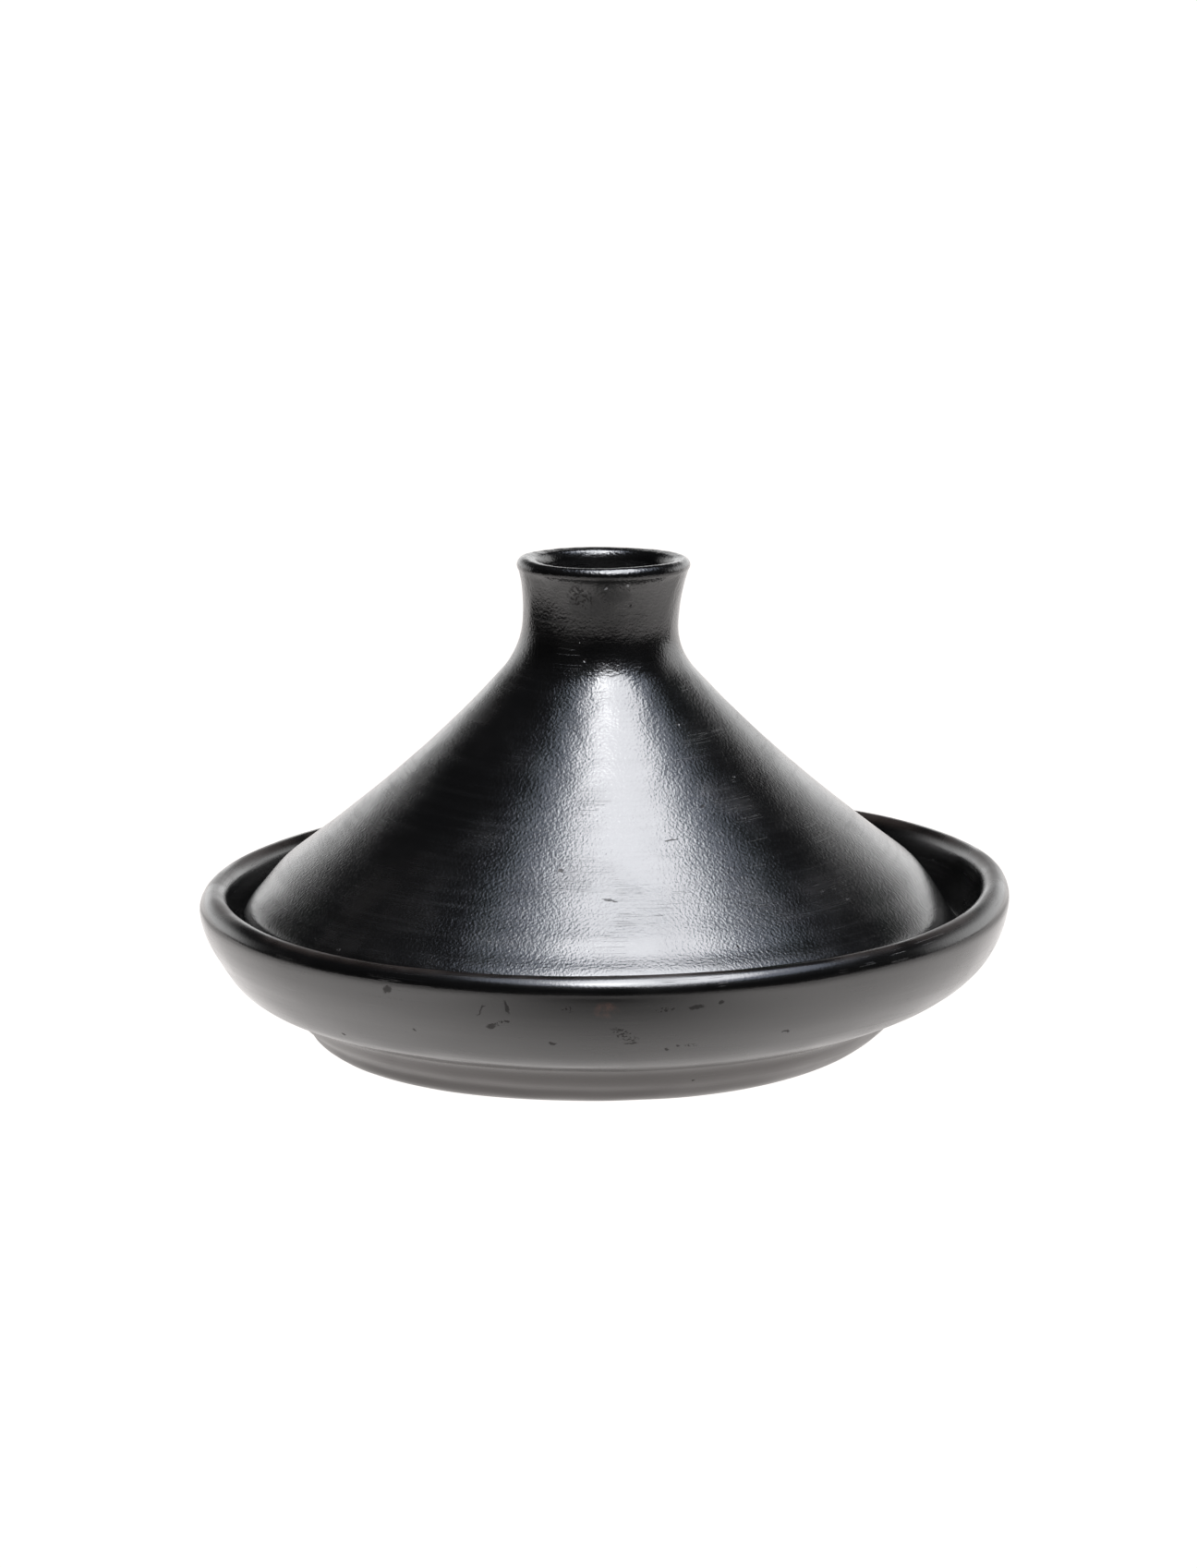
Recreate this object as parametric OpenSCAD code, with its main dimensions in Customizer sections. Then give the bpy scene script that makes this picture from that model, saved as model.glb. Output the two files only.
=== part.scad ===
// Tagine pot: a shallow clay dish and a tall cone-shaped clay lid that sits
// down inside the dish's rim on a ledge. Both pieces are turned shapes, so
// each one is the outline of its wall turned round the Z axis.
// Millimetres, +Z up. The origin is the middle of the dish's underside.

/* [Dish] */
// Widest diameter of the dish
dish_d = 300; // [260:1:360]
// Height of the widest point above the table
belly_z = 54; // [44:1:66]
// Thickness of the rounded rim
rim_w = 10; // [8:0.5:14]
// Height of the rounded rim above the widest point
rim_h = 7; // [5:0.5:9]
// Outside diameter at the step between the lower wall and the belly
step_d = 234; // [190:1:260]
// Height of the step above the table
step_z = 20; // [14:1:26]
// Diameter of the flat that the dish stands on
flat_d = 144; // [100:1:180]
// Thickness of the dish's floor
floor_t = 9; // [6:0.5:12]
// Thickness of the dish's lower wall
dish_wall = 9; // [6:0.5:12]

/* [Ledge that carries the lid] */
// How far outside the step the ledge's inner edge lies
edge_out = 5; // [0:0.5:8]
// Clay below the ledge, where it meets the upright wall
ledge_under = 6; // [5:0.5:10]
// How much the upright wall leans in between the rim and the ledge
wall_lean = 1.5; // [0:0.5:3]
// Gap between the lid's foot and the upright wall round it
lid_gap = 3.8; // [2:0.1:6]
// Gap between the lid's foot and the ledge below it
seat_gap = 0.3; // [0.3:0.1:1]

/* [Lid] */
// Height of the whole pot, from the table to the neck's lip
pot_h = 182; // [150:1:220]
// Thickness of the lid's wall
lid_wall = 7.5; // [6:0.5:9]
// Height from the lid's foot to where the cone would meet the steep skirt
skirt_h = 26; // [16:0.5:30]
// How far that meeting point lies inside the lid's foot
skirt_in = 11.5; // [5:0.5:14]
// Length of the cone and of the skirt taken up by the round shoulder
shoulder_l = 8; // [6:0.5:22]
// How far the cone's outline hangs below a straight slope
cone_sag = 8.6; // [0:0.1:11]

/* [Neck] */
// Height of the neck, from the cone to the lip
neck_h = 34.6; // [28:0.1:46]
// Diameter of the neck's waist
neck_d = 57.2; // [46:0.1:72]
// Outside diameter of the neck's lip
lip_d = 63.8; // [58:0.1:84]
// Thickness of the neck's lip
lip_w = 7; // [4:0.5:8]
// Thickness of the neck's wall at its waist
neck_wall = 5.9; // [4:0.1:9]
// Length over which the neck runs out into the cone
flare_l = 10.7; // [6:0.1:16]
// Depth of the cup in the neck
cup_depth = 38; // [24:1:46]
// Thickness of the cup's floor
cup_floor = 9; // [6:0.5:12]

/* [Hidden] */
clay = [0.11, 0.11, 0.12];
round_fn = 180;
// Points along a long curve and along a short one
long_n = 14;
short_n = 8;

belly_r = dish_d / 2;
step_r = step_d / 2;
flat_r = flat_d / 2;
// The lower wall curls under from the flat, and would meet the table this
// far inside the step.
curl_in = 5;

// The belly is part of an ellipse whose lowest point lies a little way
// inside the step.
belly_tuck = 7;
belly_rx = belly_r - step_r + belly_tuck;
belly_start = asin(belly_tuck / belly_rx);
belly_ry = (belly_z - step_z) / cos(belly_start);
belly_c = [belly_r - belly_rx, belly_z];
// Underside of the belly at radius r
function belly_under(r) = belly_z - belly_ry * sqrt(1 - pow((r - belly_c.x) / belly_rx, 2));

// The rim is two quarter ellipses. The outer one is the wider and the taller.
rim_out = 0.54 * rim_w;
rim_in = rim_w - rim_out;
rim_in_h = 0.88 * rim_h;
rim_c = [belly_r - rim_out, belly_z];
rim_in_c = [rim_c.x, belly_z + rim_h - rim_in_h];

// The lid's foot is a half round across the thickness of its wall, and the
// fillet between the ledge and the upright wall leaves it room.
foot_round = lid_wall / 2;
wall_r = belly_r - rim_w - wall_lean;
ledge_z = belly_under(wall_r) + ledge_under;
ledge_fillet = foot_round + lid_gap - 0.5;
ledge_c = [wall_r - ledge_fillet, ledge_z + ledge_fillet];

// Foot, skirt and shoulder of the lid
lid_r = wall_r - lid_gap;
foot_z = ledge_z + seat_gap;
foot_c = [lid_r - foot_round, foot_z + foot_round];
skirt_lean = atan2(skirt_in, skirt_h);
skirt_end = foot_c + foot_round * [cos(skirt_lean), sin(skirt_lean)];
shoulder = [lid_r - skirt_in, foot_z + skirt_h];

// The ledge's inner edge is rounded. It follows the step below it, and
// never runs out from under the lid's foot. The bowl curves down from it.
edge_round = 4;
edge = [min(step_r + edge_out, foot_c.x - edge_round - 1), ledge_z];
edge_end = edge - [edge_round / 2, edge_round];
bowl_r = min(step_r - dish_wall, edge.x - edge_round);
bowl_round = 28;

// Neck and cone. The cone's outline sags most at cone_mid, which lies
// cone_bend of the way down it.
neck_r = neck_d / 2;
cone_top = [neck_r, pot_h - neck_h];
cone_bend = 0.41;
cone_mid = cone_top + cone_bend * (shoulder - cone_top) - [0, cone_sag];
flare_end = cone_top + flare_l * unit(cone_mid - cone_top);
shoulder_start = shoulder - shoulder_l * unit(shoulder - cone_mid);
waist = cone_top + [0, flare_l];

// The lip is round, and the neck spreads out to it from the waist.
lip_round = lip_w / 2;
lip_c = [lip_d / 2 - lip_round, pot_h - lip_round];
lip_under = 40;
lip_end = lip_c + lip_round * [cos(lip_under), -sin(lip_under)];
spread_z = (waist.y + lip_c.y) / 2;

// Cup inside the neck, and the hollow's roof under the cup
cup_z = pot_h - cup_depth;
cup_r = neck_r - neck_wall;
cup_round = 8;
cup_c = [cup_r - cup_round, cup_z + cup_round];
roof_z = cup_z - cup_floor;
roof_flat_r = 0.45 * cup_r;

function unit(v) = v / norm(v);
function turned_back(line) = [for (i = [len(line) - 1 : -1 : 0]) line[i]];
// A line without its first point, where it carries on from the one before
function onward(line) = [for (i = [1 : len(line) - 1]) line[i]];

// Smooth bend from a to b, aimed at corner c
function bend(a, c, b, n = long_n) =
    [for (i = [0 : n]) let (t = i / n) pow(1 - t, 2) * a + 2 * t * (1 - t) * c + t * t * b];

// Stretch of an ellipse round centre c, from angle a0 to angle a1
function arc(c, rx, ry, a0, a1, n = short_n) =
    [for (i = [0 : n]) let (a = a0 + (a1 - a0) * i / n) c + [rx * cos(a), ry * sin(a)]];

// The same line moved sideways by d, to the right of the way it runs
function beside(line, d) =
    [for (i = [0 : len(line) - 1])
        let (run = unit(line[min(i + 1, len(line) - 1)] - line[max(i - 1, 0)]))
        line[i] + d * [run.y, -run.x]];

// Outside of the dish, from the middle of its underside up to the rim's top
function dish_outside() = concat(
    [[0, 0]],
    bend([flat_r, 0], [step_r - curl_in, 0], [step_r, step_z]),
    onward(arc(belly_c, belly_rx, belly_ry, belly_start - 90, 0, long_n)),
    onward(arc(rim_c, rim_out, rim_h, 0, 90))
);

// Inside of the dish, from the rim's top down to the middle of its floor
function dish_inside() = concat(
    onward(arc(rim_in_c, rim_in, rim_in_h, 90, 180)),
    arc(ledge_c, ledge_fillet, ledge_fillet, 0, -90),
    bend(edge + [edge_round, 0], edge, edge_end, short_n),
    onward(bend(edge_end, [bowl_r, floor_t], [bowl_r - bowl_round, floor_t])),
    [[0, floor_t]]
);

// Outside of the cone and its shoulder, from the neck down to the foot
function cone_line() = concat(
    bend(flare_end, cone_mid, shoulder_start),
    onward(bend(shoulder_start, shoulder, skirt_end, short_n))
);

// The cup and the outside of the neck, from the cup's floor over the lip
// down to the cone
function neck_line() = concat(
    [[0, cup_z]],
    arc(cup_c, cup_round, cup_round, -90, 0),
    bend([cup_r, waist.y], [cup_r, spread_z], lip_c - [lip_round, 0], short_n),
    onward(arc(lip_c, lip_round, lip_round, 180, 90)),
    onward(arc(lip_c, lip_round, lip_round, 90, -lip_under)),
    onward(bend(lip_end, [neck_r, spread_z], waist, short_n)),
    onward(bend(waist, cone_top, flare_end, short_n))
);

// Round the foot, up the inside of the cone and under the cup
function lid_inside() = concat(
    onward(arc(foot_c, foot_round, foot_round, skirt_lean, -90)),
    onward(arc(foot_c, foot_round, foot_round, -90, skirt_lean - 170)),
    turned_back(beside(cone_line(), lid_wall)),
    [[roof_flat_r, roof_z], [0, roof_z]]
);

module base_dish() {
    color(clay)
        rotate_extrude($fn = round_fn)
            polygon(concat(dish_outside(), dish_inside()));
}

module lid() {
    color(clay)
        rotate_extrude($fn = round_fn)
            polygon(concat(neck_line(), onward(cone_line()), lid_inside()));
}

base_dish();
lid();
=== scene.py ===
import math

import bpy
import numpy as np
from bpy.props import FloatProperty, FloatVectorProperty, PointerProperty
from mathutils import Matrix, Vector


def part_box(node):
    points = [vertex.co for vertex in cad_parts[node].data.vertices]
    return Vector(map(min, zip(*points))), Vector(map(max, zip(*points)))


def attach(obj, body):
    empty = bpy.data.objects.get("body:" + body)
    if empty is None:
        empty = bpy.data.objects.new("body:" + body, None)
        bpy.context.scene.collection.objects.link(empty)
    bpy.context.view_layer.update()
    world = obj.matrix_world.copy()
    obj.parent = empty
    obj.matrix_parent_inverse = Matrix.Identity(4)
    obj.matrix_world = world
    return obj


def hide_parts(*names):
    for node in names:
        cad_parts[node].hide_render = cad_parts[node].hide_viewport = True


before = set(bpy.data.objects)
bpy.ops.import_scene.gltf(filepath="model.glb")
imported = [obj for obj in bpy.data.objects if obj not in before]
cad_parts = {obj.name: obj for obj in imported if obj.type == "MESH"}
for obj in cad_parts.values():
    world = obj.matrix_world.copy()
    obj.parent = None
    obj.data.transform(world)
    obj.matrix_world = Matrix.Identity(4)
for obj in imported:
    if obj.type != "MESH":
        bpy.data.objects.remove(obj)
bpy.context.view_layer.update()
DISH_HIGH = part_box("base_dish")[1]
LID_LOW, LID_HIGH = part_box("lid")

bl_info = {
    "name": "Tagine Pot",
    "version": (1, 0, 0),
    "blender": (4, 5, 0),
    "location": "3D View > Sidebar > Tagine",
    "description": "Makes a hand-built, burnished clay tagine pot: a dish and a cone lid",
    "category": "Add Mesh",
}

MM = 0.001

# ---------------------------------------------------------------------------
# Sizes and colours
# ---------------------------------------------------------------------------


def length(name, description, value):
    return FloatProperty(name=name, description=description, default=value, unit="LENGTH", precision=5)


def number(name, description, value):
    return FloatProperty(name=name, description=description, default=value, precision=4)


def colour(name, description, value):
    return FloatVectorProperty(
        name=name, description=description, default=value, size=3, subtype="COLOR", min=0, max=1)


class TagineDish(bpy.types.PropertyGroup):
    radius: length("Radius", "Widest radius of the dish", DISH_HIGH.x)
    rim_top: length("Rim top", "Height of the rim above the table", DISH_HIGH.z)
    belly_z: length("Belly height", "Height of the widest point", 54 * MM)
    rim_out: length("Outer rim", "Width of the rim's outer quarter", 5.4 * MM)
    rim_in: length("Inner rim", "Width of the rim's inner quarter", 4.6 * MM)
    step_r: length("Step radius", "Radius where the lower wall meets the belly", 115.6 * MM)
    step_z: length("Step height", "Height where the lower wall meets the belly", 20 * MM)
    flat_r: length("Flat radius", "Radius of the flat underside", 74 * MM)
    ledge_r: length("Ledge edge", "Radius of the ledge's inner edge", 122 * MM)
    bowl_r: length("Bowl radius", "Radius at the foot of the bowl's wall", 108 * MM)
    floor_t: length("Floor", "Thickness of the floor", 9 * MM)
    rim_tilt: length("Rim tilt", "How much higher the rim is on the right than in the middle", 1.6 * MM)
    back_tilt: length("Back tilt", "How much more the back of the rim is tilted", 1.8 * MM)
    rim_dip: length("Rim dip", "How much lower the rim is in front", 1.1 * MM)
    foot_drift: length("Foot drift", "How far the foot sits to the left of the rim's centre", 3.0 * MM)
    foot_swell: length("Foot swell", "How much fuller the foot's edge is on its left side", 7.5 * MM)
    step_drop: length("Step drop", "How much lower the step is on its left side", 2.3 * MM)
    fillet: length("Fillet", "How softly the lower wall runs into the belly", 4.0 * MM)
    slim: length("Slim belly", "How much leaner than an ellipse the belly is low down", 0.8 * MM)


class TagineLid(bpy.types.PropertyGroup):
    radius: length("Foot radius", "Radius of the lid's foot", LID_HIGH.x)
    foot_z: length("Foot height", "Height of the lid's foot above the table", LID_LOW.z)
    top_z: length("Lip height", "Height of the neck's lip above the table", LID_HIGH.z)
    wall: length("Wall", "Thickness of the lid's wall", 7.5 * MM)
    skirt_h: length("Skirt height", "Height from the foot to the shoulder's corner", 26 * MM)
    skirt_in: length("Skirt lean", "How far the shoulder's corner lies inside the foot", 11.5 * MM)
    shoulder: length("Shoulder", "Length of the cone taken up by the round shoulder", 8 * MM)
    cone_sag: length("Cone sag", "Pull of the cone's outline below a straight slope", 8.6 * MM)
    flare: length("Flare", "Length over which the neck runs out into the cone", 10.7 * MM)
    neck_r: length("Neck radius", "Radius of the neck's waist", 28.6 * MM)
    neck_h: length("Neck height", "Height from the cone to the lip", 34.6 * MM)
    lip_r: length("Lip radius", "Outer radius of the neck's lip", 31.9 * MM)
    lip_w: length("Lip width", "Thickness of the neck's lip", 6.0 * MM)
    cup_depth: length("Cup depth", "Depth of the cup in the neck", 38 * MM)
    cone_drift: length("Cone drift", "How far the cone sits to the left of the foot's centre", 2.0 * MM)
    shoulder_swell: length("Shoulder swell", "How much fuller the shoulder is in front", 5.0 * MM)
    lip_drop: length("Lip drop", "How much lower the back of the lip is than its front", 1.3 * MM)


class TagineClay(bpy.types.PropertyGroup):
    black: colour("Black clay", "Colour of the clay after it was smoked black", (0.0030, 0.0030, 0.0031))
    # brown also carries the painted warm reflection of the floor on the dish's lower outside wall
    brown: colour("Brown clay", "Colour where the smoke took less", (0.0260, 0.0170, 0.0130))
    bare: colour("Bare clay", "Colour of a spot that wasn't burnished", (0.0120, 0.0100, 0.0090))
    fire_mark: colour("Fire mark", "Colour of a spot that a flame touched", (0.060, 0.024, 0.016))
    dust: colour("Dust", "Colour of tiny light flecks", (0.30, 0.30, 0.31))
    gloss: number("Gloss", "Index of refraction of the burnished skin", 1.8)
    smooth: number("Smooth", "Roughness where the burnishing is best", 0.18)
    worn: number("Worn", "Roughness where the burnishing is worn", 0.42)


class TagineStage(bpy.types.PropertyGroup):
    glow: number("Floor glow", "Brightness of the floor", 1.0)
    key: number("Softbox", "Brightness of the oval softbox above the pot", 7.8)
    bulb: number("Bulb", "Extra brightness where the lamp shines through the softbox", 7.0)
    halo: number("Halo", "Brightness of the wide dim cloth round the softbox", 1.3)
    backdrop: number("Backdrop", "Brightness of the low bright strip behind the pot", 1.62)


# ---------------------------------------------------------------------------
# Outlines and turned surfaces
# ---------------------------------------------------------------------------


def unit(v):
    """The vector divided by its length."""
    v = np.asarray(v, float)
    return v / np.linalg.norm(v)


def bend(a, corner, b, n=40):
    """Quadratic curve from a to b aimed at the corner: (1-t)^2 a + 2t(1-t) corner + t^2 b."""
    t = np.linspace(0, 1, n)[:, None]
    a, corner, b = (np.asarray(p, float) for p in (a, corner, b))
    return (1 - t) ** 2 * a + 2 * t * (1 - t) * corner + t * t * b


def arc(centre, rx, rz, start, end, n=40):
    """Stretch of an ellipse: the centre plus (rx cos a, rz sin a), for a from start to end in degrees."""
    a = np.radians(np.linspace(start, end, n))
    return np.stack([centre[0] + rx * np.cos(a), centre[1] + rz * np.sin(a)], 1)


def beside(line, d):
    """The line moved by d to the right of the way it runs, which is its run turned by a right angle."""
    run = np.gradient(line, axis=0)
    run /= np.linalg.norm(run, axis=1)[:, None]
    return line + d * np.stack([run[:, 1], -run[:, 0]], 1)


def distances(line):
    """The distance of every point from the line's start, measured along it."""
    return np.r_[0, np.cumsum(np.hypot(*np.diff(line, axis=0).T))]


def even_line(parts, step, round_off):
    """Joins lines into one with points every step, then averages each point with its neighbours.

    The weights fall off as exp(-(distance / round_off)^2 / 2), which rounds every corner a little.
    The ends are mirrored through themselves, so they stay where they are.
    """
    line = np.concatenate([np.asarray(p, float) for p in parts])
    gap = np.hypot(*np.diff(line, axis=0).T)
    line = line[np.r_[True, gap > 1e-9]]
    along = distances(line)
    t = np.linspace(0, along[-1], int(along[-1] / step))
    line = np.stack([np.interp(t, along, line[:, 0]), np.interp(t, along, line[:, 1])], 1)
    reach = int(4 * round_off / step)
    weight = np.exp(-0.5 * (np.arange(-reach, reach + 1) * step / round_off) ** 2)
    weight /= weight.sum()
    first, last = line[:1], line[-1:]
    padded = np.concatenate([2 * first - line[reach:0:-1], line, 2 * last - line[-2:-reach - 2:-1]])
    return np.stack([np.convolve(padded[:, k], weight, "valid") for k in (0, 1)], 1)


def waves(around, along, seed, count, turns, lengths):
    """A sum of cosines with random whole turns round the axis and random wavelengths along the wall.

    Each is cos(turns * angle + 2 pi * distance / length + phase) / sqrt(count / 2), so the sum has a
    spread of about 1. Whole turns make it close on itself.
    """
    draw = np.random.default_rng(seed)
    total = np.zeros(np.broadcast_shapes(around.shape, along.shape))
    for _ in range(count):
        k = draw.integers(turns[0], turns[1] + 1) * draw.choice([-1, 1])
        q = 2 * math.pi / draw.uniform(*lengths) * draw.choice([-1, 1])
        total += np.cos(k * around + q * along + draw.uniform(0, 2 * math.pi))
    return total / math.sqrt(count / 2)


def rise(x, low, high):
    """0 below low, 1 above high, and 3t^2 - 2t^3 between them."""
    t = np.clip((x - low) / (high - low), 0, 1)
    return t * t * (3 - 2 * t)


def turned_mesh(name, line, segments, shape):
    """Turns a closed outline round the Z axis into one closed mesh.

    Ring i, column j lies at radius r_i, height z_i and angle 2 pi j / segments. shape(r, z, angle,
    along, normal) gets whole arrays and returns the moved x, y and z. The outline's two ends lie on
    the axis and become poles with a fan of triangles each.
    """
    run = np.gradient(line, axis=0)
    run /= np.linalg.norm(run, axis=1)[:, None]
    along = distances(line)
    angle = np.arange(segments) * 2 * math.pi / segments
    r, z = line[:, :1], line[:, 1:]
    normal = np.stack([run[:, 1:], -run[:, :1]])
    x, y, z = shape(r, z, angle[None], along[:, None], normal)
    rings = np.stack(np.broadcast_arrays(x, y, z), -1)
    rows = len(line)
    inner = rings[1:-1].reshape(-1, 3)
    poles = rings[[0, -1]].mean(1)
    verts = np.concatenate([inner, poles])
    i, j = np.meshgrid(np.arange(rows - 3), np.arange(segments), indexing="ij")
    k = (j + 1) % segments
    quads = np.stack([i * segments + j, i * segments + k, (i + 1) * segments + k, (i + 1) * segments + j], -1)
    j = np.arange(segments)
    k = (j + 1) % segments
    south, north, last = len(inner), len(inner) + 1, (rows - 3) * segments
    fans = np.concatenate([
        np.stack([np.full(segments, south), k, j], 1),
        np.stack([np.full(segments, north), last + j, last + k], 1),
    ])
    mesh = bpy.data.meshes.new(name)
    mesh.from_pydata(verts, [], quads.reshape(-1, 4).tolist() + fans.tolist())
    place = mesh.attributes.new("along", "FLOAT", "POINT")
    place.data.foreach_set("value", np.r_[np.repeat(along[1:-1], segments), along[0], along[-1]])
    mesh.polygons.foreach_set("use_smooth", np.ones(len(mesh.polygons), bool))
    mesh.validate()
    mesh.update()
    piece = bpy.data.objects.new(name, mesh)
    bpy.context.scene.collection.objects.link(piece)
    return piece


# ---------------------------------------------------------------------------
# Shader maths
# ---------------------------------------------------------------------------


class Socket:
    """A node socket that can be used in a sum, a product and so on; each adds a Math node."""

    def __init__(self, tree, out):
        self.tree, self.out = tree, out

    def math(self, operation, *values):
        return add_node(self.tree, "ShaderNodeMath", {"operation": operation}, *values)

    def __add__(self, other):
        return self.math("ADD", self, other)

    def __sub__(self, other):
        return self.math("SUBTRACT", self, other)

    def __rsub__(self, other):
        return self.math("SUBTRACT", other, self)

    def __mul__(self, other):
        return self.math("MULTIPLY", self, other)

    def __gt__(self, other):
        return self.math("GREATER_THAN", self, other)

    def __lt__(self, other):
        return self.math("LESS_THAN", self, other)

    def clamp(self):
        return add_node(self.tree, "ShaderNodeClamp", {}, self)

    def most(self, other):
        return self.math("MAXIMUM", self, other)

    def size(self):
        return self.math("ABSOLUTE", self)

    def root(self):
        return self.math("SQRT", self)

    __radd__ = __add__
    __rmul__ = __mul__


def add_node(tree, kind, settings, *values, out=0, **named):
    """Adds a node, sets its settings, then its sockets by order or by name, and wraps one output."""
    node = tree.nodes.new(kind)
    for key, value in settings.items():
        setattr(node, key, value)
    sockets = list(zip(node.inputs, values)) + [(node.inputs[key], value) for key, value in named.items()]
    for socket, value in sockets:
        if isinstance(value, Socket):
            tree.links.new(value.out, socket)
        elif value is not None:
            socket.default_value = value
    return Socket(tree, node.outputs[out])


def smooth_level(tree, value, low, high):
    """0 below low, 1 above high, smooth between. Where low is above high it's the other way round."""
    smoothly = {"interpolation_type": "SMOOTHSTEP"}
    return add_node(tree, "ShaderNodeMapRange", smoothly, value, low, high, 0.0, 1.0)


class Patterns:
    """The patterns of a clay skin. Each mask is 0 to 1 over the piece's surface."""

    def __init__(self, tree):
        self.tree = tree
        self.place = self.node("ShaderNodeTexCoord", {}, out=3)
        self.along = self.node("ShaderNodeAttribute", {"attribute_name": "along"}, out=2)
        x = self.node("ShaderNodeSeparateXYZ", {}, self.place)
        y = self.node("ShaderNodeSeparateXYZ", {}, self.place, out=1)
        self.height = self.node("ShaderNodeSeparateXYZ", {}, self.place, out=2)
        self.angle = x.math("ARCTAN2", x, 0 - y)
        self.jitter = self.node("ShaderNodeTexNoise", {}, Vector=self.place, Scale=520.0, Detail=3.0, out=1)

    def node(self, kind, settings, *values, **named):
        return add_node(self.tree, kind, settings, *values, **named)

    def vector(self, operation, *values, out=0):
        return self.node("ShaderNodeVectorMath", {"operation": operation}, *values, out=out)

    def stretched(self, sideways, down):
        """Object coordinates with the distance along the wall added, scaled apart: marks that run round."""
        flat = self.vector("MULTIPLY", self.place, (sideways,) * 3)
        lift = self.node("ShaderNodeCombineXYZ", {}, 0.0, 0.0, self.along * down)
        return self.vector("ADD", flat, lift)

    def noise(self, where, scale, detail=2.0, rough=0.5):
        return self.node("ShaderNodeTexNoise", {}, Vector=where, Scale=scale, Detail=detail, Roughness=rough)

    def level(self, value, low, high):
        return smooth_level(self.tree, value, low, high)

    def dots(self, scale, radius, share, shift=0.0):
        """Small round dots of a radius in cells, on a share of the cells of a random grid."""
        moved = self.vector("ADD", self.place, (shift,) * 3)
        near = self.node("ShaderNodeTexVoronoi", {}, Vector=moved, Scale=scale)
        pick = self.node("ShaderNodeSeparateColor", {}, self.node(
            "ShaderNodeTexVoronoi", {}, Vector=moved, Scale=scale, out=1))
        return self.level(near, radius, radius * 0.5) * (pick > 1 - share)

    def lines(self, sideways, down, width, share):
        """Short fine lines that run round, on a share of the skin: where a stretched noise is halfway."""
        wave = self.noise(self.stretched(sideways, down), 1.0)
        where = self.noise(self.place, 45.0)
        return self.level((wave - 0.5).size(), width, 0.0) * self.level(where, 1 - share, 1.04 - share)

    def mark(self, angle, along, radius, half_length, half_width, slant):
        """An ellipse with a ragged edge, measured on the skin: round the pot and along its wall."""
        round_way = (self.angle - math.radians(angle)) * radius
        flat = self.node("ShaderNodeCombineXYZ", {}, round_way, self.along - along, 0.0)
        rag = 2.4 * MM
        ragged = self.vector("MULTIPLY_ADD", self.jitter, (rag, rag, 0), flat)
        centred = self.vector("SUBTRACT", ragged, (rag / 2, rag / 2, 0))
        turned = self.node(
            "ShaderNodeMapping", {"vector_type": "TEXTURE"}, Vector=centred,
            Rotation=(0, 0, math.radians(slant)), Scale=(half_length, half_width, 1))
        far = self.vector("LENGTH", turned, out=1)
        return self.level(far, 1.0, 0.55)

    def blend(self, factor, a, b):
        """Colour a where the factor is 0 and b where it is 1."""
        node = self.tree.nodes.new("ShaderNodeMix")
        node.data_type = "RGBA"
        for socket, value in ((node.inputs[0], factor), (node.inputs[6], a), (node.inputs[7], b)):
            if isinstance(value, Socket):
                self.tree.links.new(value.out, socket)
            else:
                socket.default_value = (*value, 1)
        return Socket(self.tree, node.outputs[2])


def most_of(shapes):
    """The highest of several patterns, or 0 where there are none."""
    total = shapes[0] if shapes else 0.0
    for shape in shapes[1:]:
        total = total.most(shape)
    return total


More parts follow.
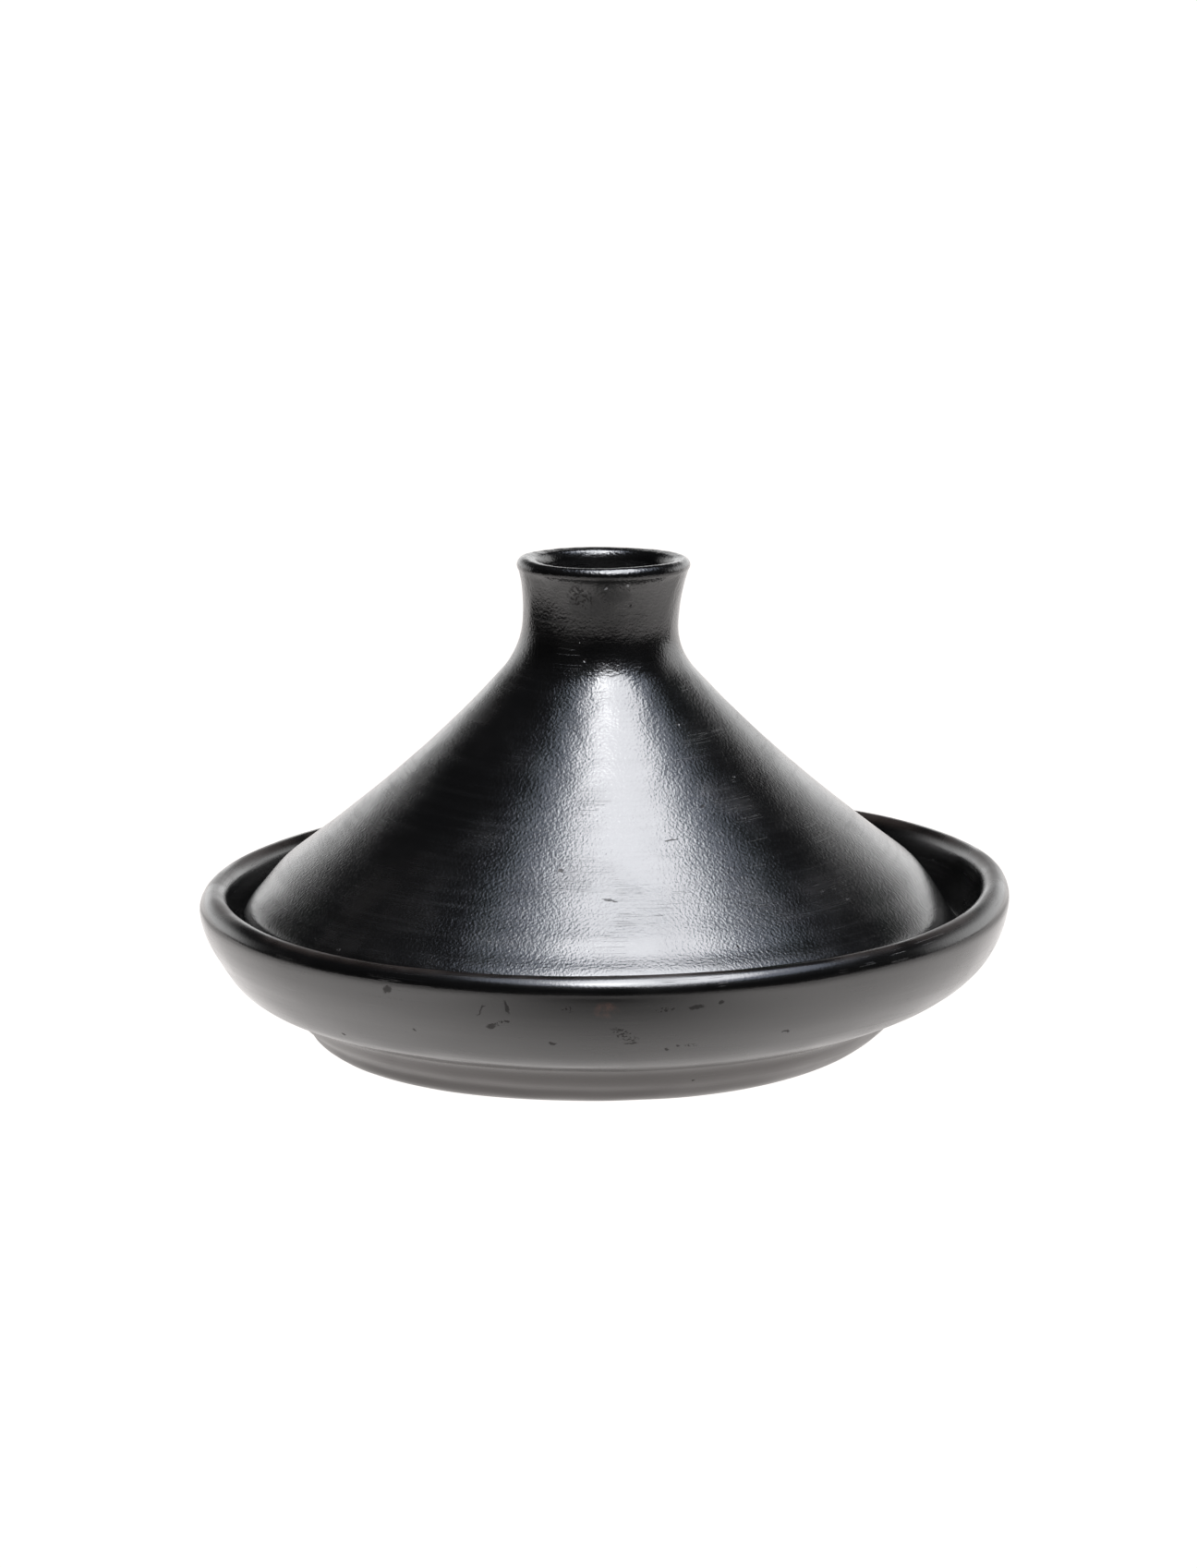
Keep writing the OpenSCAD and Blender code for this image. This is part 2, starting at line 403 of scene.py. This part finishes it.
def clay_material(name, clay, marks, grain_depth, foot_z, rim_at, rim_wear):
    """Burnished black clay: grain, strokes that run round the pot, cracks, pits, flecks and the marks.

    Below the height foot_z on the outside the colour is painted browner: partly the foot's own browner clay,
    partly a painted warm reflection of the floor. The smoke took less by rim_wear at the rim, which lies
    rim_at along the outline.
    """
    material = bpy.data.materials.new(name)
    material.use_nodes = True
    tree = material.node_tree
    shader = tree.nodes["Principled BSDF"]
    p = Patterns(tree)

    strokes = p.noise(p.stretched(14.0, 330.0), 1.0, 3.0, 0.55)
    fine_strokes = p.noise(p.stretched(30.0, 1300.0), 1.0, 3.0, 0.6)
    clouds = p.noise(p.place, 22.0, 3.0, 0.55)
    grain = p.noise(p.place, 1000.0)
    coarse = p.noise(p.place, 450.0)
    pits = p.dots(150.0, 0.12, 0.06)
    flecks = p.dots(110.0, 0.030, 0.06, 0.37)
    cracks = p.lines(9.0, 420.0, 0.005, 0.45)

    by_kind = {"fire": [], "bare": [], "speckled": [], "dull": [], "fleck": []}
    for kind, *place in marks:
        by_kind[kind].append(p.mark(*place))
    fire, bare, speckled, dull, fleck = (most_of(shapes) for shapes in by_kind.values())
    speckles = p.level(grain, 0.50, 0.58)
    bare_clay = ((speckles * speckled).most(bare) + pits * 0.6).clamp()
    flecks = flecks.most(fleck)

    # Lower outside wall: its browner colour is partly the clay's own and partly a painted warm reflection of
    # the floor; it is also rougher
    low = p.level(p.height, foot_z + 6 * MM, foot_z - 6 * MM) * (rim_at > p.along)
    rim = p.level((p.along - rim_at).size(), 5.5 * MM, 1.5 * MM) * p.level(clouds, 0.30, 0.60) * rim_wear
    shade = (p.level(clouds, 0.50, 0.78) * 0.08 + low * 0.7 + rim).clamp()
    skin = p.blend(shade, clay.black, clay.brown)
    skin = p.blend(p.level(coarse, 0.30, 0.70) * fire, skin, clay.fire_mark)
    skin = p.blend(flecks, skin, clay.dust)
    tree.links.new(skin.out, shader.inputs["Base Color"])

    wear = p.level(clouds, 0.42, 0.72) * 0.45 + p.level(strokes, 0.45, 0.75) * 0.20
    wear = wear + p.level(fine_strokes, 0.52, 0.75) * 0.22 + dull * 0.7 + low * 0.4 + rim
    roughness = wear.clamp() * (clay.worn - clay.smooth) + clay.smooth
    tree.links.new(roughness.out, shader.inputs["Roughness"])

    # Height in millimetres
    height = strokes * 0.045 + fine_strokes * 0.012 + (grain + coarse * 0.25) * grain_depth
    height = height - cracks * 0.022 - pits * 0.10 - bare_clay * 0.05
    bump = p.node("ShaderNodeBump", {}, Strength=1.0, Distance=MM, Height=height)
    tree.links.new(bump.out, shader.inputs["Normal"])
    shader.inputs["IOR"].default_value = clay.gloss

    bare_colour = {"Base Color": (*clay.bare, 1)}
    matte = p.node("ShaderNodeBsdfPrincipled", {}, Roughness=0.8, IOR=1.35, Normal=bump, **bare_colour)
    both = p.node("ShaderNodeMixShader", {}, bare_clay * 0.7, Socket(tree, shader.outputs[0]), matte)
    tree.links.new(both.out, tree.nodes["Material Output"].inputs["Surface"])
    return material


# ---------------------------------------------------------------------------
# Pieces
# ---------------------------------------------------------------------------

# Where the dish's foot and the lid's shoulder are fullest, as angles from +X: between the left and the
# front, and in front a little to the left
LEFT_SIDE = math.radians(215)
FRONT_SIDE = math.radians(262)

# Marks on the outside: kind, angle from the front in degrees (right is positive), height in mm,
# half length and half width in mm, slant in degrees
DISH_MARKS = (
    ("fire", 0.2, 49.0, 5.0, 3.6, 0),
    ("bare", -30.2, 52.0, 2.6, 1.6, 50),
    ("bare", -13.0, 49.3, 3.4, 0.75, 97),
    ("bare", -16.6, 47.5, 4.0, 0.45, 55),
    ("bare", -15.5, 41.4, 2.3, 1.3, 20),
    ("bare", -13.1, 43.7, 1.2, 0.9, 0),
    ("speckled", -14.3, 42.7, 4.5, 1.3, 15),
    ("speckled", -4.9, 49.6, 2.6, 1.6, 0),
    ("speckled", 7.6, 48.9, 5.5, 0.8, 4),
    ("bare", 12.2, 49.3, 3.6, 1.1, 6),
    ("bare", 15.4, 50.2, 1.6, 1.0, 0),
    ("speckled", 2.7, 39.6, 6.5, 2.6, -32),
    ("bare", 3.5, 36.2, 2.6, 0.55, 0),
    ("bare", -7.2, 36.0, 1.8, 0.6, -5),
    ("bare", 8.7, 33.5, 0.8, 0.8, 0),
    ("bare", 10.2, 34.8, 0.8, 0.8, 0),
    ("speckled", 12.0, 34.6, 3.0, 1.0, 0),
    ("bare", 25.9, 36.5, 2.0, 0.6, 0),
    ("bare", -27.5, 36.8, 0.9, 0.8, 0),
    ("bare", -42.0, 29.3, 1.0, 0.9, 0),
    ("bare", 16.3, 13.1, 0.9, 0.9, 0),
)
LID_MARKS = (
    ("speckled", -17.0, 171.3, 6.5, 5.0, -30),
    ("dull", -14.0, 168.0, 8.0, 6.0, 0),
    ("dull", 9.9, 171.9, 6.0, 3.4, 0),
    ("fleck", 1.5, 175.0, 0.65, 0.65, 0),
    ("fleck", 15.3, 176.0, 0.65, 0.65, 0),
    ("fleck", -17.5, 154.0, 0.3, 0.3, 0),
    ("bare", 19.0, 168.0, 0.8, 0.6, 0),
    ("bare", 1.0, 77.0, 3.2, 0.5, -14),
    ("bare", 16.5, 93.2, 3.4, 0.4, 4),
    ("bare", -9.5, 85.0, 1.0, 0.6, 0),
    ("bare", 29.0, 102.0, 1.0, 0.7, 20),
)


def top_of(line):
    """How far along the outline its highest point lies."""
    return distances(line)[line[:, 1].argmax()]


def placed(marks, line, outer):
    """Turns each mark's height into its distance along the outline, on the outer stretch of it."""
    along = distances(line)
    rows = np.flatnonzero(outer)
    rows = rows[np.argsort(line[rows, 1])]
    for kind, angle, height, half_length, half_width, slant in marks:
        place = np.interp(height * MM, line[rows, 1], along[rows])
        radius = np.interp(height * MM, line[rows, 1], line[rows, 0])
        yield kind, angle, place, radius, half_length * MM, half_width * MM, slant


def spread(values, low, high):
    """Stretches an array so that it runs exactly from low to high."""
    return low + (values - values.min()) / np.ptp(values) * (high - low)


class TAGINE_OT_dish(bpy.types.Operator):
    """Makes the dish: its outline turned round the axis, with a potter's unevenness"""

    bl_idname = "tagine.dish"
    bl_label = "Dish"
    bl_options = {"REGISTER", "UNDO"}

    def execute(self, context):
        s = context.scene.tagine_dish
        # The belly is part of an ellipse whose lowest point lies a little way inside the step
        tuck, wall_lean, ledge_under, nook = 7 * MM, 1.5 * MM, 6 * MM, 7 * MM
        belly_rx = s.radius - s.step_r + tuck
        start = math.asin(tuck / belly_rx)
        belly_rz = (s.belly_z - s.step_z) / math.cos(start)
        rim_h = s.rim_top - s.belly_z
        rim_x = s.radius - s.rim_out
        wall_r = rim_x - s.rim_in - wall_lean
        under = s.belly_z - belly_rz * math.sqrt(1 - ((wall_r - s.radius + belly_rx) / belly_rx) ** 2)
        ledge_z = under + ledge_under
        edge = (s.ledge_r - 2 * MM, ledge_z - 4 * MM)
        skin = even_line([
            bend((0, 0), (s.flat_r / 2, 0), (s.flat_r, 0)),
            bend((s.flat_r, 0), (s.step_r - 5 * MM, 0), (s.step_r, s.step_z)),
            arc((s.radius - belly_rx, s.belly_z), belly_rx, belly_rz, math.degrees(start) - 90, -2, 80),
        ], 0.5 * MM, s.fillet)
        line = even_line([
            skin,
            arc((rim_x, s.belly_z), s.rim_out, rim_h, 0, 90),
            arc((rim_x, s.rim_top - 0.88 * rim_h), s.rim_in, 0.88 * rim_h, 90, 180),
            arc((wall_r - nook, ledge_z + nook), nook, nook, 0, -90),
            bend((s.ledge_r + 4 * MM, ledge_z), (s.ledge_r, ledge_z), edge),
            bend(edge, (s.bowl_r, s.floor_t), (s.bowl_r - 28 * MM, s.floor_t)),
            [(0, s.floor_t)],
        ], 1.8 * MM, 0.8 * MM)
        inside = (np.arange(len(line)) > line[:, 1].argmax())[:, None]

        def shape(r, z, angle, along, normal):
            hand = waves(angle, along, 3, count=14, turns=(2, 5), lengths=(0.15, 0.4)) * 0.22 * MM
            strokes = waves(angle, along, 5, count=40, turns=(6, 30), lengths=(0.012, 0.03)) * 0.022 * MM
            seat = inside * rise(z, 28 * MM, 33 * MM) * (1 - rise(z, 46 * MM, 50 * MM))
            push = (hand + strokes) * rise(r, 0.02, 0.08) * (1 - seat)
            r, z = r + normal[0] * push, z + normal[1] * push
            fuller = 0.5 + 0.5 * np.cos(angle - LEFT_SIDE)
            low = rise(r, 50 * MM, 85 * MM) * (1 - rise(z, 1 * MM, 10 * MM)) * ~inside
            lean = rise(z, 10 * MM, 30 * MM) * (1 - rise(z, 32 * MM, 54 * MM)) * ~inside
            by_step = rise(z, 6 * MM, 18 * MM) * (1 - rise(z, 24 * MM, 44 * MM)) * ~inside
            r = r + s.foot_swell * fuller * low - s.slim * lean
            z = z - s.step_drop * fuller * by_step
            x = r * np.cos(angle) - s.foot_drift * (1 - rise(z, 18 * MM, 38 * MM))
            y = r * np.sin(angle)
            upper = np.where(inside, rise(z, 44 * MM, s.rim_top), rise(z, s.step_z, s.rim_top))
            tilt = s.rim_tilt + s.back_tilt * rise(y, -0.5 * s.radius, 0.2 * s.radius)
            z = z + tilt * upper * x / s.radius
            z = z - s.rim_dip * rise(-np.sin(angle), 0.0, 0.8) * rise(z, s.belly_z - 2 * MM, s.rim_top)
            return spread(x, -s.radius, s.radius), spread(y, -s.radius, s.radius), spread(z, 0, z.max())

        piece = turned_mesh("dish", line, 400, shape)
        marks = placed(DISH_MARKS, line, ~inside[:, 0] & (line[:, 0] > s.flat_r))
        clay = clay_material(
            "dish_clay", context.scene.tagine_clay, marks, grain_depth=0.030,
            foot_z=s.step_z, rim_at=top_of(line), rim_wear=0.55)
        piece.data.materials.append(clay)
        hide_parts("base_dish")
        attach(piece, "dish")
        return {"FINISHED"}


class TAGINE_OT_lid(bpy.types.Operator):
    """Makes the lid: foot, cone, neck and cup in one turned wall, with a potter's unevenness"""

    bl_idname = "tagine.lid"
    bl_label = "Lid"
    bl_options = {"REGISTER", "UNDO"}

    def execute(self, context):
        s = context.scene.tagine_lid
        foot = s.wall / 2
        foot_c = np.array([s.radius - foot, s.foot_z + foot])
        lean = math.atan2(s.skirt_in, s.skirt_h)
        skirt_end = foot_c + foot * np.array([math.cos(lean), math.sin(lean)])
        shoulder = np.array([s.radius - s.skirt_in, s.foot_z + s.skirt_h])
        cone_top = np.array([s.neck_r, s.top_z - s.neck_h])
        middle = cone_top + 0.41 * (shoulder - cone_top) - np.array([0, s.cone_sag])
        flare = cone_top + s.flare * unit(middle - cone_top)
        shoulder_start = shoulder - s.shoulder * unit(shoulder - middle)
        waist = cone_top + np.array([0, s.flare])
        lip = s.lip_w / 2
        lip_c = np.array([s.lip_r - lip, s.top_z - lip])
        lip_end = lip_c + lip * np.array([math.cos(0.7), -math.sin(0.7)])
        lip_edge = lip_c + lip * np.array([-1.15, 0.74])
        lip_in = lip_edge - np.array([1.2, 2.5]) * MM
        spread_z = (waist[1] + lip_c[1]) / 2
        cup_z, cup_r, cup_round = s.top_z - s.cup_depth, s.neck_r - 5.9 * MM, 8 * MM
        roof_z = cup_z - 9 * MM
        cone = even_line([
            bend(flare, middle, shoulder_start, 80),
            bend(shoulder_start, shoulder, skirt_end),
        ], 1.0 * MM, 1.0 * MM)
        line = np.concatenate([
            even_line([[(0, roof_z), (0.45 * cup_r, roof_z)], beside(cone, s.wall)], 3.5 * MM, 2.0 * MM),
            even_line([
                arc(foot_c, foot, foot, math.degrees(lean) - 175, math.degrees(lean)),
                cone[::-1],
                bend(flare, cone_top, waist),
                bend(waist, (s.neck_r, spread_z), lip_end),
            ], 1.6 * MM, 0.8 * MM)[1:],
            even_line([
                arc(lip_c, lip, lip, -40, 82),
                [lip_edge],
                [lip_in],
                bend(lip_in - np.array([0.3, 1.5]) * MM, (cup_r, s.top_z - 4.5 * lip), (cup_r, waist[1])),
            ], 0.7 * MM, 0.5 * MM)[1:],
            even_line([
                arc((cup_r - cup_round, cup_z + cup_round), cup_round, cup_round, 0, -90),
                [(0, cup_z)],
            ], 2.0 * MM, 0.5 * MM),
        ])
        row = np.arange(len(line))
        outer = (row > line[:, 1].argmin()) & (row < line[:, 1].argmax())

        def shape(r, z, angle, along, normal):
            hand = waves(angle, along, 11, count=14, turns=(2, 5), lengths=(0.15, 0.4)) * 0.20 * MM
            strokes = waves(angle, along, 13, count=40, turns=(6, 30), lengths=(0.012, 0.03)) * 0.022 * MM
            push = (hand + strokes) * rise(r, 0.01, 0.03) * rise(z, 41 * MM, 48 * MM)
            fuller = rise(np.cos(angle - FRONT_SIDE), -0.15, 0.55)
            bulge = np.exp(-((z - 52 * MM) / (7.5 * MM)) ** 2) * outer[:, None]
            push = push + s.shoulder_swell * fuller * bulge
            r, z = r + normal[0] * push, z + normal[1] * push
            drift = rise(z, s.foot_z + 2 * MM, s.foot_z + 13 * MM) - rise(z, 140 * MM, s.top_z)
            x = r * np.cos(angle) - s.cone_drift * drift
            y = r * np.sin(angle)
            back = rise(y / s.lip_r, -0.4, 0.9) * (1 + 0.3 * x / s.lip_r)
            z = z - s.lip_drop * back * rise(z, 160 * MM, s.top_z)
            return x, y, spread(z, z.min(), s.top_z)

        piece = turned_mesh("lid", line, 400, shape)
        marks = placed(LID_MARKS, line, outer)
        clay = clay_material(
            "lid_clay", context.scene.tagine_clay, marks, grain_depth=0.135,
            foot_z=0.0, rim_at=top_of(line), rim_wear=0.0)
        piece.data.materials.append(clay)
        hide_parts("lid")
        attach(piece, "lid")
        return {"FINISHED"}


class Stage:
    """The tree of a material or world that has one colour and a brightness from shader maths."""

    def __init__(self, tree, kind, output, tint):
        self.tree = tree
        tree.nodes.clear()
        self.shader = tree.nodes.new(kind)
        self.shader.inputs["Color"].default_value = (*tint, 1)
        out = tree.nodes.new(output)
        tree.links.new(self.shader.outputs[0], out.inputs["Surface"])
        where = "Object" if kind == "ShaderNodeEmission" else "Generated"
        coords = tree.nodes.new("ShaderNodeTexCoord")
        split = tree.nodes.new("ShaderNodeSeparateXYZ")
        tree.links.new(coords.outputs[where], split.inputs[0])
        self.x, self.y, self.z = (Socket(tree, socket) for socket in split.outputs)

    def level(self, value, low, high):
        return smooth_level(self.tree, value, low, high)

    def shine(self, strength):
        """Uses the brightness for light and reflections; the camera itself sees plain white."""
        seen = add_node(self.tree, "ShaderNodeLightPath", {}, out=0)
        total = strength * (1 - seen) + seen * 1.1
        self.tree.links.new(total.out, self.shader.inputs["Strength"])


class TAGINE_OT_stage(bpy.types.Operator):
    """Makes the pale floor, the lamps above, the bright strip behind and the camera"""

    bl_idname = "tagine.stage"
    bl_label = "Stage"
    bl_options = {"REGISTER", "UNDO"}

    def execute(self, context):
        s = context.scene.tagine_stage
        scene = context.scene

        # Floor: glows most close round the pot, with a painted shadow under it and a painted shadow in front
        # of it. It fades out in front and at the sides, and stays bright behind.
        mesh = bpy.data.meshes.new("floor")
        mesh.from_pydata([(-4, -4, 0), (4, -4, 0), (4, 8, 0), (-4, 8, 0)], [], [(0, 1, 2, 3)])
        floor = bpy.data.objects.new("floor", mesh)
        scene.collection.objects.link(floor)
        material = bpy.data.materials.new("floor_white")
        material.use_nodes = True
        glow = Stage(
            material.node_tree, "ShaderNodeEmission", "ShaderNodeOutputMaterial", (1.0, 0.965, 0.95))
        ahead = (0 - glow.y).most(0.0)
        aside = glow.x.size()
        far = (glow.x * glow.x + glow.y * glow.y).root()
        near = glow.level(far, 0.42, 0.21) * 0.92
        table = glow.level(far, 1.3, 0.6) * glow.level(glow.x, -0.68, -0.54)
        table = table * (glow.level(aside, 0.2, 0.45) * 0.30 + 0.55)
        # Painted shadow on the floor in front of the pot
        dim = glow.level(aside, 0.17, 0.0) * glow.level(ahead, 0.10, 0.20) * glow.level(ahead, 0.40, 0.28)
        behind = glow.level(glow.y - aside * 0.55, -0.05, 0.25) * 1.25
        bright = ((near + table) * (1 - dim * (glow.level(ahead, 0.17, 0.27) * 0.30 + 0.60))).most(behind)
        # Painted contact shadow: the floor glows 30% less right under and round the pot
        glow.shine(bright * (1 - glow.level(far, 0.15, 0.12) * 0.30) * s.glow)
        mesh.materials.append(material)

        # Lamps above and in front of the pot: an oval softbox on the right, a bulb that shines through
        # it, and a wide dim cloth round it. Each one's power is its brightness * pi * its area.
        for name, brightness, wide, deep, place, tint in (
            ("softbox", s.key, 0.54, 0.86, (0.245, -0.51, 1.60), (0.99, 0.99, 1.01)),
            ("bulb", s.bulb, 0.20, 0.28, (-0.03, -0.70, 1.58), (1.0, 1.0, 1.0)),
            ("halo", s.halo, 1.00, 1.00, (0.33, -0.41, 1.62), (0.86, 0.96, 1.18)),
        ):
            lamp = bpy.data.lights.new(name, "AREA")
            lamp.shape = "ELLIPSE"
            lamp.size = 2 * wide
            lamp.size_y = 2 * deep
            lamp.energy = brightness * math.pi * math.pi * wide * deep
            lamp.color = tint
            box = bpy.data.objects.new(name, lamp)
            box.location = place
            box.visible_camera = False
            scene.collection.objects.link(box)

        # Sky: a dim room with a bright strip low down behind the pot, higher on the right
        world = bpy.data.worlds.new("room")
        world.use_nodes = True
        sky = Stage(world.node_tree, "ShaderNodeBackground", "ShaderNodeOutputWorld", (1.0, 1.0, 1.0))
        low = sky.level(sky.z - sky.x.most(0.0) * 0.16, 0.47, 0.09)
        strip = low * sky.level(sky.y + sky.x * 0.12, 0.22, 0.60)
        sky.shine(strip * s.backdrop + 0.004)
        scene.world = world
        scene.view_settings.view_transform = "Standard"

        # Camera: a long lens that looks down by twelve degrees
        distance, down = 1.70, math.radians(12.05)
        middle = Vector((-2.1, 0, 96.2)) * MM
        data = bpy.data.cameras.new("camera")
        data.lens = 105.4
        data.sensor_width = 36
        data.clip_start, data.clip_end = 0.1, 50
        camera = bpy.data.objects.new("camera", data)
        camera.location = middle + distance * Vector((0, -math.cos(down), math.sin(down)))
        camera.rotation_euler = (math.pi / 2 - down, 0, 0)
        scene.collection.objects.link(camera)
        scene.camera = camera
        return {"FINISHED"}


class TAGINE_PT_sidebar(bpy.types.Panel):
    """Lists the steps that make the pot, and their settings"""

    bl_idname = "TAGINE_PT_sidebar"
    bl_label = "Tagine Pot"
    bl_space_type = "VIEW_3D"
    bl_region_type = "UI"
    bl_category = "Tagine"

    def draw(self, context):
        for step in STEPS:
            self.layout.operator(step.bl_idname)
        for group in SETTINGS:
            box = self.layout.box()
            settings = getattr(context.scene, group)
            for key in settings.bl_rna.properties.keys():
                if key not in ("rna_type", "name"):
                    box.prop(settings, key)


SETTINGS = {
    "tagine_dish": TagineDish,
    "tagine_lid": TagineLid,
    "tagine_clay": TagineClay,
    "tagine_stage": TagineStage,
}
STEPS = (TAGINE_OT_stage, TAGINE_OT_dish, TAGINE_OT_lid)
CLASSES = (*SETTINGS.values(), *STEPS, TAGINE_PT_sidebar)


def register():
    for cls in CLASSES:
        bpy.utils.register_class(cls)
    for name, group in SETTINGS.items():
        setattr(bpy.types.Scene, name, PointerProperty(type=group))


def unregister():
    for name in SETTINGS:
        delattr(bpy.types.Scene, name)
    for cls in reversed(CLASSES):
        bpy.utils.unregister_class(cls)


def main():
    register()
    bpy.ops.tagine.stage()
    bpy.ops.tagine.dish()
    bpy.ops.tagine.lid()


if __name__ == "__main__":
    main()
